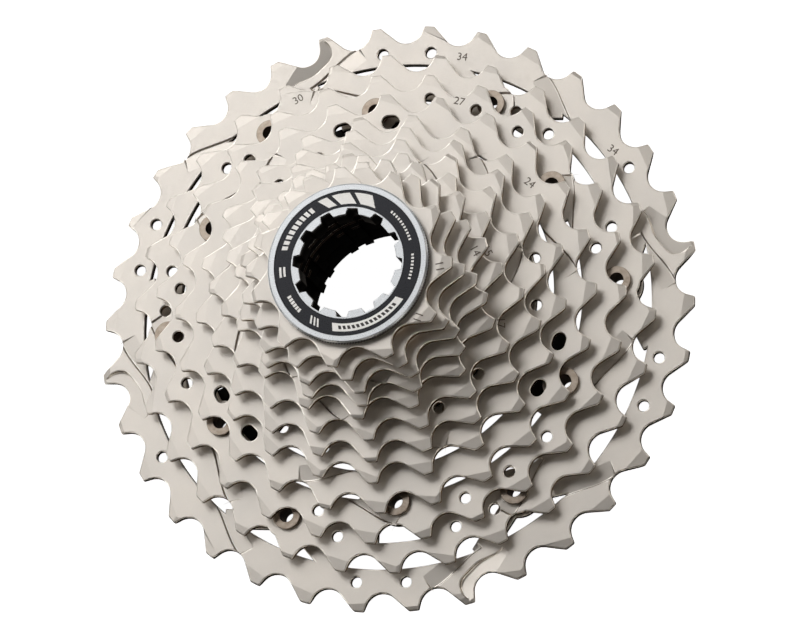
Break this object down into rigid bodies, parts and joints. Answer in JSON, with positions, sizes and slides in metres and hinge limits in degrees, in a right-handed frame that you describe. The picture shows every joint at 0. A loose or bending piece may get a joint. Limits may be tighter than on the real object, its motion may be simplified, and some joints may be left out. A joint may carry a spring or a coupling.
{
  "type": "cassette sprocket",
  "caption": "Stacked bicycle cassette of toothed plates that step down to a notched lockring, riveted at the back to black carriers with a splined hub bore.",
  "frame": {"origin": "on the axle line at the back face of the largest sprocket", "axes": "+Z along the axle line towards the lockring, +X to the right in the lying pose, +Y away"},
  "size_m": [0.1384, 0.1382, 0.0428],
  "materials": {
    "nickel_steel": "satin nickel plate",
    "black_aluminium": "black anodised",
    "rivet_steel": "dark nickel plate",
    "black_plastic": "matt black",
    "washer_steel": "nickel plate",
    "lockring_metal": "bright anodised with a black printed face ring"
  },
  "bodies": {
    "large_unit": {"sprocket_34": "nickel_steel", "sprocket_30": "nickel_steel", "sprocket_27": "nickel_steel", "carrier_large": "black_aluminium", "rivets_outer": "rivet_steel", "rivet_spacers": "rivet_steel", "rivets_inner_long": "rivet_steel", "rivets_inner_short": "rivet_steel"},
    "middle_unit": {"sprocket_24": "nickel_steel", "sprocket_21": "nickel_steel", "carrier_middle": "black_aluminium", "rivets_middle": "rivet_steel"},
    "sprocket_19_body": {"sprocket_19": "nickel_steel"},
    "spacer_19_17_body": {"spacer_19_17": "black_plastic"},
    "sprocket_17_body": {"sprocket_17": "nickel_steel"},
    "spacer_17_15_body": {"spacer_17_15": "black_plastic"},
    "sprocket_15_body": {"sprocket_15": "nickel_steel"},
    "spacer_15_14_body": {"spacer_15_14": "black_plastic"},
    "sprocket_14_body": {"sprocket_14": "nickel_steel"},
    "spacer_14_13_body": {"spacer_14_13": "black_plastic"},
    "sprocket_13_body": {"sprocket_13": "nickel_steel"},
    "sprocket_12_body": {"sprocket_12": "nickel_steel"},
    "sprocket_11_body": {"sprocket_11": "nickel_steel"},
    "lockring_washer_body": {"lockring_washer": "washer_steel"},
    "lockring_body": {"lockring": "lockring_metal"}
  },
  "joints": [
    {"name": "middle_unit_slide", "type": "slide", "parent": "large_unit", "child": "middle_unit", "axis": [0, 0, 1], "range_m": [0, 0.01]},
    {"name": "sprocket_19_slide", "type": "slide", "parent": "middle_unit", "child": "sprocket_19_body", "axis": [0, 0, 1], "range_m": [0, 0.01]},
    {"name": "spacer_19_17_slide", "type": "slide", "parent": "sprocket_19_body", "child": "spacer_19_17_body", "axis": [0, 0, 1], "range_m": [0, 0.01]},
    {"name": "sprocket_17_slide", "type": "slide", "parent": "spacer_19_17_body", "child": "sprocket_17_body", "axis": [0, 0, 1], "range_m": [0, 0.01]},
    {"name": "spacer_17_15_slide", "type": "slide", "parent": "sprocket_17_body", "child": "spacer_17_15_body", "axis": [0, 0, 1], "range_m": [0, 0.01]},
    {"name": "sprocket_15_slide", "type": "slide", "parent": "spacer_17_15_body", "child": "sprocket_15_body", "axis": [0, 0, 1], "range_m": [0, 0.01]},
    {"name": "spacer_15_14_slide", "type": "slide", "parent": "sprocket_15_body", "child": "spacer_15_14_body", "axis": [0, 0, 1], "range_m": [0, 0.01]},
    {"name": "sprocket_14_slide", "type": "slide", "parent": "spacer_15_14_body", "child": "sprocket_14_body", "axis": [0, 0, 1], "range_m": [0, 0.01]},
    {"name": "spacer_14_13_slide", "type": "slide", "parent": "sprocket_14_body", "child": "spacer_14_13_body", "axis": [0, 0, 1], "range_m": [0, 0.01]},
    {"name": "sprocket_13_slide", "type": "slide", "parent": "spacer_14_13_body", "child": "sprocket_13_body", "axis": [0, 0, 1], "range_m": [0, 0.01]},
    {"name": "sprocket_12_slide", "type": "slide", "parent": "sprocket_13_body", "child": "sprocket_12_body", "axis": [0, 0, 1], "range_m": [0, 0.01]},
    {"name": "sprocket_11_slide", "type": "slide", "parent": "sprocket_12_body", "child": "sprocket_11_body", "axis": [0, 0, 1], "range_m": [0, 0.01]},
    {"name": "lockring_advance", "type": "slide", "parent": "sprocket_11_body", "child": "lockring_washer_body", "axis": [0, 0, 1], "range_m": [0, 0.00425]},
    {"name": "lockring_turn", "type": "hinge", "parent": "lockring_washer_body", "child": "lockring_body", "pos_m": [0, 0, 0.042], "axis": [0, 0, 1], "range_deg": [0, 1440]}
  ],
  "couplings": [
    {"joint": "lockring_advance", "follows": "lockring_turn", "m_per_rad": 0.00016844}
  ]
}
